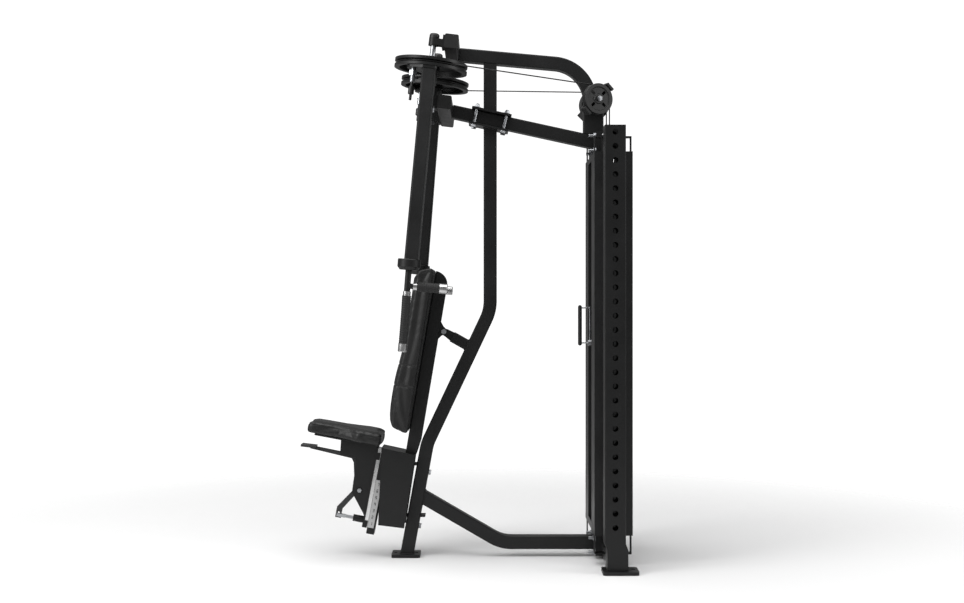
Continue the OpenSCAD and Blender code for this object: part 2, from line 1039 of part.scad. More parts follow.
// Strokes of the digits 1 to 7 on a 6 by 12 grid, as bars from corner to corner.
segments = [
    [[4, 0, 6, 12]],
    [[0, 10, 6, 12], [4, 6, 6, 12], [0, 5, 6, 7], [0, 0, 2, 6], [0, 0, 6, 2]],
    [[0, 10, 6, 12], [4, 0, 6, 12], [1, 5, 6, 7], [0, 0, 6, 2]],
    [[0, 6, 2, 12], [4, 0, 6, 12], [0, 5, 6, 7]],
    [[0, 10, 6, 12], [0, 6, 2, 12], [0, 5, 6, 7], [4, 0, 6, 6], [0, 0, 6, 2]],
    [[0, 10, 6, 12], [0, 0, 2, 12], [0, 5, 6, 7], [4, 0, 6, 6], [0, 0, 6, 2]],
    [[0, 10, 6, 12], [4, 0, 6, 12]]
];
module position_scale() {
    color("#d5d6d8")
        rail_frame()
            translate([30, 8.5, -21])
                difference() {
                    block([0, 0, 0], [1.6, 23, 182]);
                    for (i = [0:6], b = segments[i])
                        translate([1, 8.5, 10 + i * seat_step])
                            block([0, b[0], b[1]], [2, b[2], b[3]]);
                }
}

module seat_carriage() {
    color(black)
        rail_frame()
            difference() {
                union() {
                    block([-32, -13, -24], [32, -6.6, 280]);
                    for (s = [-1, 1], z = [-24, 236])
                        mirrored(s)
                            block([25.6, -13, z], [32, 5.5, z + 26]);
                    for (s = [-1, 1])
                        mirrored(s)
                            rotate([90, 0, 90])
                                translate([0, 0, 23])
                                    linear_extrude(6)
                                        polygon([
                                            [-10, 16], [-10, 289], [-152, 289], [-144, 228],
                                            [-84, 231], [-80, 226], [-74, 98], [-18, 28]
                                        ]);
                    block([-60, -250, 287], [60, -5, 293]);
                    translate([0, -53, 0])
                        rotate([-90, 0, 0])
                            cylinder(h = 42, d = 26, $fn = 64);
                }
                translate([0, -60, 0])
                    rotate([-90, 0, 0])
                        cylinder(h = 60, d = 12.15, $fn = 48);
                translate([-40, -47, 110])
                    rotate([0, 90, 0])
                        cylinder(h = 80, d = 10.15, $fn = 48);
                for (sx = [-1, 1], y = [-197, -40])
                    translate([sx * 46, y, 280])
                        cylinder(h = 20, d = 9, $fn = 32);
            }
}

module seat_pad() {
    front = 80;
    rear = 120;
    half = [
        [front - 18, -294], [front - 5, -290], [front, -278], [front, -170],
        [front + 8, -140], [front + 24, -112], [rear, -94], [rear, -16], [rear - 5, -5], [rear - 16, 0]
    ];
    color("#202022")
        rail_frame()
            translate([0, 8, 293.4])
                linear_extrude(seat_thick)
                    polygon(concat(half, [for (i = [len(half) - 1:-1:0]) [-half[i].x, half[i].y]]));
}

module seat_lever() {
    color("#2b2c2f")
        rail_frame() {
            difference() {
                translate([-4, 0, 0])
                    rotate([90, 0, 90])
                        linear_extrude(8)
                            polygon([
                                [-262, 228], [-262, 240], [-100, 238], [-82, 232], [-72, 214],
                                [-34, 122], [-34, 98], [-56, 94], [-99, 26], [-99, -10],
                                [-121, -10], [-121, 30], [-68, 110], [-90, 206], [-100, 220]
                            ]);
                hull()
                    for (z = [-1, 9])
                        translate([-10, -110, z])
                            rotate([0, 90, 0])
                                cylinder(h = 20, d = 8.4, $fn = 32);
            }
            translate([0, -262, 238])
                rotate([4, 0, 0])
                    block([-32, -34.5, -4], [32, 22, 4]);
            translate([-32, -47, 110])
                rotate([0, 90, 0])
                    cylinder(h = 64, d = 10, $fn = 48);
            for (s = [-1, 1])
                mirrored(s)
                    translate([29.4, -47, 110])
                        rotate([0, 90, 0])
                            cylinder(h = 6, d = 17, $fn = 6);
        }
}

module plunger() {
    color(steel)
        rail_frame() {
            translate([0, -94, 0])
                rotate([-90, 0, 0])
                    cylinder(h = 87.4, d = 12, $fn = 48);
            for (s = [-1, 1])
                mirrored(s)
                    block([4.6, -117, -6], [8, -84, 6]);
            block([-8, -94, -6], [8, -88, 6]);
            translate([-8, -110, 0])
                rotate([0, 90, 0])
                    cylinder(h = 16, d = 7, $fn = 32);
        }
}

// ---- Fasteners of the frame ----
module stud(y_plate, z) {
    for (s = [-1, 1])
        translate([s * 58, 515, z])
            rotate([90, 0, 0]) {
                cylinder(h = 50, d = 12, $fn = 32);
                translate([0, 0, 515 - y_plate])
                    cylinder(h = 10, d = 21, $fn = 6);
            }
}

module cross_bolt(y, z, half) {
    translate([-half, y, z])
        rotate([0, 90, 0])
            bolt(12, 2 * half, 2);
}

module frame_bolts() {
    color(steel) {
        for (z = [24, 78])
            stud(491, z);
        for (z = [1532, 1588])
            stud(493, z);
        for (sx = [-1, 1], sy = [-1, 1])
            translate([0, 96, 1653.5])
                rotate([-12.3, 0, 0])
                    translate([sx * 36, sy * 57, -33])
                        bolt(12, 66, 4);
        cross_bolt(bolt_y, bolt_z, 20);
        for (p = [[-136.8, 317.4], [-174.1, 114.3]])
            translate([0, p.x, p.y])
                rotate([-100.6, 0, 0])
                    cylinder(h = 8, d = 21, $fn = 6);
    }
}

uprights();
rear_feet();
base_crossmember();
top_crossmember();
main_frame_tube();
lower_frame_tube();
top_beam();
sloped_beam();
cross_tubes();
tube_end_caps();
arm_bearings();
pulley_mast();
pulley_yokes();
pulley_axles();
back_support_tube();
back_pad();
back_pad_board();
seat_housing();
seat_rail();
position_scale();
front_guard();
rear_guard();
guide_rods();
stack_bumpers();
weight_plates();
frame_bolts();
cable_spans();
cable_drops();
head_plate();
top_weight_plate();
selector_stem();
cable_anchors();
selector_pin();
selector_grip();
left_cam();
right_cam();
left_cam_shaft();
right_cam_shaft();
left_cam_bush();
right_cam_bush();
left_arm();
right_arm();
left_collar();
right_collar();
left_pin_barrel();
right_pin_barrel();
left_pop_pin();
right_pop_pin();
left_handle_frame();
right_handle_frame();
left_handle_grips();
right_handle_grips();
left_handle_fittings();
right_handle_fittings();
left_pulley();
right_pulley();
seat_carriage();
seat_pad();
seat_lever();
plunger();
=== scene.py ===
# %% [markdown]
# # A chest fly and rear deltoid machine
# The machine is a welded frame of black box tube with a guarded weight stack, two arms that hang
# from overhead cams, an adjustable seat and a back pad. Its hard parts arrive finished from CAD.
# Blender adds what CAD can't show: foam under vinyl, moulded rubber grips, weld beads, washers,
# caps and the finish of every surface.

# %% Load the frame
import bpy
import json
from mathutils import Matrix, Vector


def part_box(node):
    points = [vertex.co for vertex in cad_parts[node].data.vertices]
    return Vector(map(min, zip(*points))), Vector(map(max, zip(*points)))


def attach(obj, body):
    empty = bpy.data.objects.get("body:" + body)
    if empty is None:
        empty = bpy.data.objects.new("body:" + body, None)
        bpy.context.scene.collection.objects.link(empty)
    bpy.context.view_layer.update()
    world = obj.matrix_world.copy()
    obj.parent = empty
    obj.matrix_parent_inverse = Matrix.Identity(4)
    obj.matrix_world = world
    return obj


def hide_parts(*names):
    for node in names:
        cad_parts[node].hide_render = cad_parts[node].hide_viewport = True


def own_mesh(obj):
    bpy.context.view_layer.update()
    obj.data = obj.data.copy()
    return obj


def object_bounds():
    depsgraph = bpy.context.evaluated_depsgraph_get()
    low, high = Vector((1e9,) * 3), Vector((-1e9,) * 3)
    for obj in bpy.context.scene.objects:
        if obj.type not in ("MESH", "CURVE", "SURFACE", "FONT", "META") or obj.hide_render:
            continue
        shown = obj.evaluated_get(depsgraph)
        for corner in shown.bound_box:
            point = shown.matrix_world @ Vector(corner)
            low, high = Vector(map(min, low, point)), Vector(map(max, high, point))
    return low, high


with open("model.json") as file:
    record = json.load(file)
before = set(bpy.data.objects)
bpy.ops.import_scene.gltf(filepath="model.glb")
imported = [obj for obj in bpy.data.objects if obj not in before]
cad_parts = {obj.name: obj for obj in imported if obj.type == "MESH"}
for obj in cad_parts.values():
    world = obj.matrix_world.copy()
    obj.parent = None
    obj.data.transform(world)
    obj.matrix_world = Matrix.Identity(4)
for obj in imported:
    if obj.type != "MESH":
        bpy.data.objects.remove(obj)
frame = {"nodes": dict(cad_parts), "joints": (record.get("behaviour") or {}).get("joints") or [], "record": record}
cad_low, cad_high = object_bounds()

# %% Tools of the workshop
import json
import math

import bpy
from mathutils import Matrix, Vector

MM = 0.001
scene = bpy.context.scene
joints = {joint["name"]: joint for joint in frame["joints"]}
SIDES = {"left": 1, "right": -1}

# %% [markdown]
# ## Camera, floor and light
# Catalogue pictures of gym machines are taken level, from the side, with a moderately long lens,
# on white. A white world gives the even background. The floor is one large pale sheet that turns
# clear with distance, so that it holds the soft shadow and shows no edge or horizon. Black paint
# needs large, soft, bright shapes to reflect, or it turns into a silhouette, so three broad area
# lights stand around the machine.

# %% Camera
camera_data = bpy.data.cameras.new("studio_camera")
camera_data.lens = 50
camera_data.sensor_width = 36
camera = bpy.data.objects.new("studio_camera", camera_data)
camera.location = (5.086, 0.065, 0.965)
camera.rotation_euler = (math.radians(90), 0, math.radians(90))
scene.collection.objects.link(camera)
scene.camera = camera
scene.view_settings.view_transform = "Standard"
print("camera at", tuple(round(x, 3) for x in camera.location))

# %% Floor and world
bpy.ops.object.select_all(action="DESELECT")
bpy.ops.mesh.primitive_circle_add(vertices=96, radius=40, fill_type="NGON", location=(0, 0, -0.0005))
floor = bpy.context.object
floor.name = "studio_floor"

paper = bpy.data.materials.new("studio_paper")
paper.use_nodes = True
floor.data.materials.append(paper)
nodes, links = paper.node_tree.nodes, paper.node_tree.links
sheet = nodes["Principled BSDF"]
sheet.inputs["Base Color"].default_value = (0.86, 0.86, 0.86, 1)
sheet.inputs["Roughness"].default_value = 0.8
place = nodes.new("ShaderNodeTexCoord")
distance = nodes.new("ShaderNodeVectorMath")
distance.operation = "LENGTH"
fade = nodes.new("ShaderNodeMapRange")
fade.interpolation_type = "SMOOTHSTEP"
for name, value in {"From Min": 1.1, "From Max": 3.4, "To Min": 1.0, "To Max": 0.0}.items():
    fade.inputs[name].default_value = value
links.new(place.outputs["Object"], distance.inputs[0])
links.new(distance.outputs["Value"], fade.inputs["Value"])
links.new(fade.outputs["Result"], sheet.inputs["Alpha"])
print("floor fades out from", fade.inputs["From Min"].default_value, "m")

world = bpy.data.worlds.new("studio_white")
scene.world = world
world.use_nodes = True
nodes, links = world.node_tree.nodes, world.node_tree.links
background = nodes["Background"]
background.inputs["Color"].default_value = (1, 1, 1, 1)
ray = nodes.new("ShaderNodeLightPath")
strength = nodes.new("ShaderNodeMapRange")
strength.inputs["To Min"].default_value = 0.3
strength.inputs["To Max"].default_value = 1.1
links.new(ray.outputs["Is Camera Ray"], strength.inputs["Value"])
links.new(strength.outputs["Result"], background.inputs["Strength"])


# %% Lights
def soft_light(name, place, aim, size, watts):
    """A square area light at place that looks at aim."""
    data = bpy.data.lights.new(name, "AREA")
    data.size = size
    data.energy = watts
    lamp = bpy.data.objects.new(name, data)
    lamp.location = place
    lamp.rotation_euler = (Vector(aim) - Vector(place)).to_track_quat("-Z", "Y").to_euler()
    scene.collection.objects.link(lamp)
    return lamp


middle = (cad_low + cad_high) / 2
soft_light("overhead_softbox", (0.6, -0.4, 4.6), (0, 0, 0.4), 4.0, 190)
soft_light("front_softbox", (2.6, -3.6, 2.6), middle, 2.4, 120)
soft_light("rear_softbox", (1.4, 4.2, 2.2), middle, 2.0, 60)

# %% [markdown]
# ## Writing finishes as sums
# A procedural finish is mostly arithmetic on masks and noises. Wiring each Math node by hand
# hides the idea, so a small class wraps a socket and turns Python's own operators into Math
# nodes. Every other node comes from one method that takes its type, settings and inputs.


# %% A socket that does sums
class Wire:
    """An output socket. Arithmetic on it adds the Math nodes that it stands for."""

    def __init__(self, finish, socket):
        self.finish = finish
        self.socket = socket

    def math(self, operation, first, second):
        return self.finish.node("ShaderNodeMath", {"operation": operation}, {0: first, 1: second})

    def __add__(self, other):
        return self.math("ADD", self, other)

    __radd__ = __add__

    def __sub__(self, other):
        return self.math("SUBTRACT", self, other)

    def __rsub__(self, other):
        return self.math("SUBTRACT", other, self)

    def __mul__(self, other):
        return self.math("MULTIPLY", self, other)

    __rmul__ = __mul__

    def __lt__(self, other):
        return self.math("LESS_THAN", self, other)


# %% A finish and its nodes
class Finish:
    """A Principled material that is built from noises, masks and sums."""

    def __init__(self, name, metallic=0.0, coat=0.0, specular=0.5):
        self.material = bpy.data.materials.new(name)
        self.material.use_nodes = True
        self.tree = self.material.node_tree
        self.shader = self.tree.nodes["Principled BSDF"]
        self.shader.inputs["Metallic"].default_value = metallic
        self.shader.inputs["Coat Weight"].default_value = coat
        self.shader.inputs["Coat Roughness"].default_value = 0.2
        self.shader.inputs["Specular IOR Level"].default_value = specular
        self.place = self.node("ShaderNodeTexCoord", output="Object")

    def node(self, kind, settings=None, inputs=None, output=0):
        """Adds a node: settings first, then values or links of its inputs."""
        made = self.tree.nodes.new(kind)
        for name, value in (settings or {}).items():
            setattr(made, name, value)
        for name, value in (inputs or {}).items():
            self.feed(made.inputs[name], value)
        return Wire(self, made.outputs[output])

    def feed(self, socket, value):
        if isinstance(value, Wire):
            self.tree.links.new(value.socket, socket)
        else:
            socket.default_value = value

    def noise(self, per_metre, detail=3.0, stretch=(1, 1, 1), roughness=0.5):
        """Noise of about per_metre blobs in a metre, from 0 to 1."""
        spread = {"Vector": self.place, "Scale": stretch}
        place = self.node("ShaderNodeMapping", {"vector_type": "POINT"}, spread)
        sizes = {"Vector": place, "Scale": per_metre, "Detail": detail, "Roughness": roughness}
        return self.node("ShaderNodeTexNoise", inputs=sizes)

    def cells(self, per_metre):
        """Distance to the nearest of about per_metre points in a metre."""
        return self.node("ShaderNodeTexVoronoi", inputs={"Vector": self.place, "Scale": per_metre})

    def axis(self, index):
        """The X, Y or Z of the point, in metres."""
        return self.node("ShaderNodeSeparateXYZ", inputs={0: self.place}, output=index)

    def between(self, value, low, high, to_low=0.0, to_high=1.0):
        """value's stretch from low to high, moved to to_low to to_high and held there."""
        limits = {"Value": value, "From Min": low, "From Max": high, "To Min": to_low, "To Max": to_high}
        return self.node("ShaderNodeMapRange", {"clamp": True}, limits)

    def blend(self, factor, dark, light):
        """A colour between two others."""
        colours = {0: factor, 6: dark, 7: light}
        return self.node("ShaderNodeMix", {"data_type": "RGBA"}, colours, output=2)

    def colour(self, value):
        self.feed(self.shader.inputs["Base Color"], value)
        return self

    def rough(self, value):
        self.feed(self.shader.inputs["Roughness"], value)
        return self

    def bump(self, height, depth_mm, strength=0.5):
        """Relief of about depth_mm."""
        numbers = {"Height": height, "Distance": depth_mm * MM, "Strength": strength}
        self.feed(self.shader.inputs["Normal"], self.node("ShaderNodeBump", inputs=numbers))
        return self


def grey(level, warm=0.0):
    """A near-grey colour; warm tips it towards red."""
    return (level * (1 + warm), level, level * (1 - warm), 1)


# %% [markdown]
# ## Finishes
# Powder coat is a plastic film that is baked on: satin, with the faint waves of orange peel
# and a finer grain in them. The waves are a noise of a few millimetres, and the grain is one of
# under a millimetre. Both go into relief, and a third, broad noise lets the gloss wander, as it
# does where hands and cloths have been.


# %% Powder coat and paint
def powder_coat(name, level, gloss, grain_mm=0.012):
    """Baked satin paint: level is how dark, gloss the middle roughness."""
    finish = Finish(name, specular=0.3)
    waves = finish.noise(260, 2)
    grain = finish.noise(1900, 2)
    handling = finish.noise(9, 5)
    finish.colour(finish.blend(handling, grey(level * 0.8, -0.02), grey(level * 1.25, -0.02)))
    finish.rough(finish.between(handling, 0.3, 0.7, gloss - 0.06, gloss + 0.07))
    finish.bump(waves * 0.7 + grain * 0.3, grain_mm * 6)
    return finish.material


black_coat = powder_coat("satin_black_powder_coat", 0.0075, 0.42)
guard_coat = powder_coat("guard_sheet_powder_coat", 0.009, 0.46)
stack_paint = powder_coat("weight_plate_paint", 0.009, 0.52, 0.02)
lever_coat = powder_coat("lever_grey_paint", 0.03, 0.4)


# %% [markdown]
# ## Metals
# Bolts and collars are zinc plated: bright, slightly blue, and cloudy. Rods and the seat rail
# are ground and chromed, so their scratches run around or along them. The bushes are turned
# brass, and the number plate is brushed aluminium.


# %% Bright metals
def bright_metal(name, dark, light, gloss, per_metre, stretch=(1, 1, 1), relief_mm=0.004):
    """Bare or plated metal whose gloss and colour cloud over a little."""
    finish = Finish(name, metallic=1.0)
    cloud = finish.noise(45, 4)
    lines = finish.noise(per_metre, 3, stretch)
    finish.colour(finish.blend(cloud, dark, light))
    finish.rough(finish.between(cloud * 0.5 + lines * 0.5, 0.3, 0.7, gloss - 0.07, gloss + 0.1))
    finish.bump(lines, relief_mm * 5, 0.35)
    return finish.material


zinc = bright_metal("zinc_plated_steel", (0.25, 0.26, 0.28, 1), (0.5, 0.51, 0.52, 1), 0.3, 700)
chrome = bright_metal("hard_chrome", grey(0.45), grey(0.7), 0.14, 900, (1, 1, 0.04))
brass = bright_metal("turned_brass", (0.42, 0.27, 0.08, 1), (0.72, 0.5, 0.2, 1), 0.3, 1500, (0.1, 0.1, 1))
turned_alloy = bright_metal("turned_alloy", grey(0.34), grey(0.62), 0.24, 1600, (0.08, 0.08, 1))


# %% [markdown]
# ## Vinyl, rubber and plastic
# Upholstery vinyl is embossed: rounded pebbles a millimetre or so across with fine creases
# between them. Voronoi distance gives the pebbles. Rubber grips are dull and finely pitted, and
# moulded nylon carries the even sparkle of an eroded mould.


# %% Soft and moulded finishes
def pebbled_vinyl(name):
    """Black upholstery vinyl with an embossed grain."""
    finish = Finish(name, specular=0.34, coat=0.04)
    pebbles = finish.cells(520)
    creases = finish.noise(240, 4)
    wear = finish.noise(11, 4)
    finish.colour(finish.blend(wear, grey(0.006), grey(0.012)))
    finish.rough(finish.between(wear + 0.25 * pebbles, 0.35, 0.95, 0.4, 0.56))
    finish.bump(pebbles * 0.8 + creases * 0.5, 0.16, 0.55)
    return finish.material


def moulded(name, level, gloss, pits_per_metre, relief_mm, specular=0.4):
    """Rubber or nylon as it leaves a textured mould."""
    finish = Finish(name, specular=specular)
    pits = finish.noise(pits_per_metre, 2)
    patches = finish.noise(22, 4)
    finish.colour(finish.blend(patches, grey(level * 0.75), grey(level * 1.3)))
    finish.rough(finish.between(patches * 0.6 + pits * 0.4, 0.3, 0.7, gloss - 0.08, gloss + 0.08))
    finish.bump(pits, relief_mm, 0.6)
    return finish.material


vinyl = pebbled_vinyl("pebbled_black_vinyl")
grip_rubber = moulded("grip_rubber", 0.014, 0.62, 1400, 0.12, 0.35)
nylon = moulded("moulded_nylon", 0.013, 0.4, 1800, 0.04)
cable_nylon = moulded("cable_jacket_nylon", 0.01, 0.3, 600, 0.03)
pad_board = moulded("stained_plywood", 0.016, 0.66, 300, 0.1, 0.3)
print("finishes:", len(bpy.data.materials))


# %% [markdown]
# ## The number plate
# The seat's scale is brushed aluminium with seven engraved numbers that are filled with dark
# paint. The engraving is in the CAD plate, a fraction of a millimetre deep, so the paint is a
# mask on how deep the surface lies: whatever is below the plate's face is dark.


# %% Scale plate
def scale_plate_finish(name, face_x):
    """Brushed plate, dark wherever it lies below face_x."""
    finish = Finish(name)
    brushing = finish.noise(1500, 3, (1, 1, 0.03))
    engraved = finish.axis(0) < face_x
    bare = finish.blend(brushing, grey(0.36), grey(0.52))
    finish.colour(finish.blend(engraved, bare, grey(0.003)))
    finish.feed(finish.shader.inputs["Metallic"], 0.35 * (1 - engraved))
    finish.rough(0.34 + 0.25 * engraved)
    finish.bump(brushing, 0.02, 0.3)
    return finish.material


scale_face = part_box("position_scale")[1].x
number_plate = scale_plate_finish("engraved_number_plate", scale_face - 0.3 * MM)
print("scale face at x =", round(scale_face, 4))

# %% [markdown]
# ## Dressing the CAD nodes
# Each slot of the record stands for one finish, and each node names its slot. So one table from
# slot to finish dresses the whole frame, and the few nodes that differ are dressed by name.

# %% Finish of each slot
slot_finish = {
    "powder_black": black_coat,
    "chrome_steel": chrome,
    "zinc_steel": zinc,
    "brass": brass,
    "vinyl": vinyl,
    "board": pad_board,
    "rubber_black": grip_rubber,
    "plastic_black": nylon,
    "cable_jacket": cable_nylon,
    "stack_steel": stack_paint,
    "scale_plate": number_plate,
    "lever_grey": lever_coat,
}
node_finish = {
    "front_guard": guard_coat,
    "rear_guard": guard_coat,
    "left_handle_fittings": turned_alloy,
    "right_handle_fittings": turned_alloy,
}


def dress(obj, material):
    """Gives a mesh one material."""
    obj.data.materials.clear()
    obj.data.materials.append(material)


for part in frame["record"]["subparts"]:
    node = part["node"]
    dress(frame["nodes"][node], node_finish.get(node, slot_finish[part["material_slot"]]))

# %% [markdown]
# ## Working by hand, in code
# Operators act on whatever is selected, so every piece starts with nothing selected. These
# helpers add a primitive, run edit-mode work on it and leave the piece at the origin with its
# place in its mesh, which is how the CAD nodes are stored too.


# %% Starting and finishing a piece
def start_piece(name, add, **numbers):
    """Adds a primitive with the given operator and names it."""
    bpy.ops.object.select_all(action="DESELECT")
    add(**numbers)
    piece = bpy.context.object
    piece.name = name
    piece.data.name = name
    return piece


def only(piece):
    """Selects one object and makes it the active one."""
    bpy.ops.object.select_all(action="DESELECT")
    piece.select_set(True)
    bpy.context.view_layer.objects.active = piece


def apply_all(piece):
    """Applies every modifier and the object's own transform."""
    only(piece)
    for modifier in list(piece.modifiers):
        bpy.ops.object.modifier_apply(modifier=modifier.name)
    bpy.ops.object.transform_apply(location=True, rotation=True, scale=True)
    return piece


def finish_piece(piece, material, body, smooth_deg=35):
    """Smooths, dresses and hangs a finished piece on its body."""
    apply_all(piece)
    bpy.ops.object.shade_smooth_by_angle(angle=math.radians(smooth_deg))
    dress(piece, material)
    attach(piece, body)
    print(piece.name, len(piece.data.polygons), "faces on", body)
    return piece


def copy_piece(piece, name, move):
    """A copy with its own mesh, moved by a matrix and with its faces turned the right way."""
    twin = piece.copy()
    twin.data = piece.data.copy()
    twin.name = name
    twin.data.name = name
    scene.collection.objects.link(twin)
    twin.data.transform(move)
    if move.determinant() < 0:
        twin.data.flip_normals()
    return twin


def join(pieces, name):
    """Joins several pieces into one."""
    bpy.ops.object.select_all(action="DESELECT")
    for piece in pieces:
        piece.select_set(True)
    bpy.context.view_layer.objects.active = pieces[0]
    bpy.ops.object.join()
    pieces[0].name = name
    pieces[0].data.name = name
    return pieces[0]


MIRROR_X = Matrix.Diagonal((-1, 1, 1, 1))


def joint_frame(joint_name):
    """The place of a joint with its axis as the local Z, pointing up."""
    joint = joints[joint_name]
    axis = Vector(joint["axis"])
    if axis.z < 0:
        axis = -axis
    turn = Vector((0, 0, 1)).rotation_difference(axis).to_matrix().to_4x4()
    return Matrix.Translation(joint["pos_m"]) @ turn


# %% [markdown]
# ## Turned shapes
# Grips, weld beads, washers, bolt heads and caps are all bodies of revolution. A lathe in Blender can
# be a circle that is extruded along its axis and scaled at every step, which keeps each ring
# where the profile says. The profile is a short list of heights and radii, in millimetres.


# %% A lathe
def turned(name, profile, place=Matrix.Identity(4), around=48):
    """A closed round piece: profile is (height, radius) pairs from the bottom up, in mm."""
    height, radius = profile[0]
    start_at = dict(vertices=around, radius=radius * MM, fill_type="NGON", location=(0, 0, height * MM))
    piece = start_piece(name, bpy.ops.mesh.primitive_circle_add, **start_at)
    bpy.ops.object.mode_set(mode="EDIT")
    bpy.ops.mesh.select_all(action="SELECT")
    for next_height, next_radius in profile[1:]:
        rise = (0, 0, (next_height - height) * MM)
        bpy.ops.mesh.extrude_region_move(TRANSFORM_OT_translate={"value": rise})
        grow = next_radius / radius
        bpy.ops.transform.resize(value=(grow, grow, 1))
        height, radius = next_height, next_radius
    bpy.ops.mesh.select_all(action="SELECT")
    bpy.ops.mesh.normals_make_consistent(inside=False)
    bpy.ops.object.mode_set(mode="OBJECT")
    apply_all(piece)
    piece.data.transform(place)
    return piece


# %% [markdown]
# ## Pads
# Each pad is foam on a board with vinyl pulled over it. A modelled block looks hard, because
# real vinyl is under tension and the foam pushes back. So the block is remeshed into an even
# net, its board side is pinned, and Blender's cloth solver blows it up a little from inside.
# The movement is capped, so that the pad keeps its size.


# %% Foam under vinyl
VOXEL = 5.5 * MM
PRESSURE = 4.0
SIM_FRAMES = 20


def blank_pad(node, name, shrink):
    """A copy of a CAD pad, welded, shrunk a little and remeshed into an even net."""
    pad = copy_piece(frame["nodes"][node], name, Matrix.Identity(4))
    pad.parent = None
    for key in list(pad.keys()):
        del pad[key]
    only(pad)
    bpy.ops.object.mode_set(mode="EDIT")
    bpy.ops.mesh.select_all(action="SELECT")
    bpy.ops.mesh.remove_doubles(threshold=0.01 * MM)
    bpy.ops.object.mode_set(mode="OBJECT")
    low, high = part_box(node)
    centre = (low + high) / 2
    size = high - low
    scale = Matrix.Diagonal([1 - 2 * shrink / side for side in size] + [1])
    pad.data.transform(Matrix.Translation(centre) @ scale @ Matrix.Translation(-centre))
    remesh = pad.modifiers.new("even_net", "REMESH")
    remesh.mode = "VOXEL"
    remesh.voxel_size = VOXEL
    soften = pad.modifiers.new("round_the_edges", "SMOOTH")
    soften.factor = 0.5
    soften.iterations = 14
    return apply_all(pad)


def inflate(pad, flat_side, cap):
    """Blows a pad up with the cloth solver, pinned where flat_side(point) is true."""
    rest = [vertex.co.copy() for vertex in pad.data.vertices]
    pinned = pad.vertex_groups.new(name="stapled")
    pinned.add([v.index for v in pad.data.vertices if flat_side(v.co)], 1.0, "REPLACE")
    cloth = pad.modifiers.new("vinyl", "CLOTH")
    cloth.settings.vertex_group_mass = "stapled"
    cloth.settings.use_pressure = True
    cloth.settings.uniform_pressure_force = PRESSURE
    cloth.settings.effector_weights.gravity = 0
    cloth.settings.tension_stiffness = 12
    cloth.settings.bending_stiffness = 2.5
    cloth.point_cache.frame_end = SIM_FRAMES
    for step in range(1, SIM_FRAMES + 1):
        scene.frame_set(step)
    apply_all(pad)
    scene.frame_set(1)
    for vertex, before in zip(pad.data.vertices, rest):
        move = vertex.co - before
        if move.length > cap:
            vertex.co = before + move * (cap / move.length)
    return pad


def refine(pad):
    """One subdivision, for seams and a smooth outline."""
    pad.modifiers.new("refine", "SUBSURF").levels = 1
    pad.modifiers["refine"].render_levels = 1
    return apply_all(pad)


def seam(pad, distance, width, depth):
    """Presses a stitched channel where distance(point) is near zero."""
    normals = [v.normal.copy() for v in pad.data.vertices]
    for vertex, normal in zip(pad.data.vertices, normals):
        share = math.exp(-((distance(vertex.co) / width) ** 2))
        vertex.co -= normal * depth * share


# %% Back pad
board_low, board_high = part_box("back_pad_board")
board_rise = board_high - board_low
BOARD_THICK = 10 * MM
back_lean = math.atan2(board_rise.y - BOARD_THICK, board_rise.z)
up_back = Vector((0, math.sin(back_lean), math.cos(back_lean)))
off_back = Vector((0, -math.cos(back_lean), math.sin(back_lean)))
board_foot = Vector((0, board_low.y, board_low.z))
print("back pad leans", round(math.degrees(back_lean), 2), "degrees")


def back_depth(point):
    """Distance of a point in front of the pad's board."""
    return (point - board_foot).dot(off_back)


back_pad = blank_pad("back_pad", "back_pad_vinyl", 5 * MM)
nearest = min(back_depth(v.co) for v in back_pad.data.vertices)
inflate(back_pad, lambda point: back_depth(point) < nearest + 14 * MM, 7 * MM)
refine(back_pad)
for rise in (163 * MM, 243 * MM):
    seam(back_pad, lambda point: (point - board_foot).dot(up_back) - rise, 2.6 * MM, 2.2 * MM)
finish_piece(back_pad, vinyl, "frame", 80)
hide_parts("back_pad")

# %% Seat pad
up_seat = Vector(joints["seat_height"]["axis"])


def seat_height(point):
    """Height of a point square to the seat's board."""
    return point.dot(up_seat)


seat_pad = blank_pad("seat_pad", "seat_pad_vinyl", 5 * MM)
lowest = min(seat_height(v.co) for v in seat_pad.data.vertices)
highest = max(seat_height(v.co) for v in seat_pad.data.vertices)
inflate(seat_pad, lambda point: seat_height(point) < lowest + 5 * MM, 6 * MM)
refine(seat_pad)
side_seam = lowest + 0.72 * (highest - lowest)
seam(seat_pad, lambda point: seat_height(point) - side_seam, 2.2 * MM, 1.4 * MM)
finish_piece(seat_pad, vinyl, "seat", 80)
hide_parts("seat_pad")

# %% [markdown]
# ## Grips
# The long grips are rubber tubes that flare at the top and carry shallow rings, and the short
# rear grips are the same rubber with closer rings. Both are turned: the profile is a plain
# tube, and a cosine adds the rings.


# %% Ringed rubber grips
def ringed_profile(start, end, radius, rings, depth, flare=0.0):
    """Heights and radii of a grip with round edges, rings and a flare at its end."""
    steps = rings * 6
    profile = [(start, radius - 3), (start, radius - 1), (start + 1, radius)]
    for i in range(1, steps):
        share = i / steps
        height = start + 1 + (end - start - 2) * share
        ring = depth * (math.cos(2 * math.pi * rings * share) - 1) / 2
        profile.append((height, radius + ring + flare * share ** 4))
    profile += [(end - 1, radius + flare), (end, radius + flare - 1), (end, radius - 3)]
    return profile


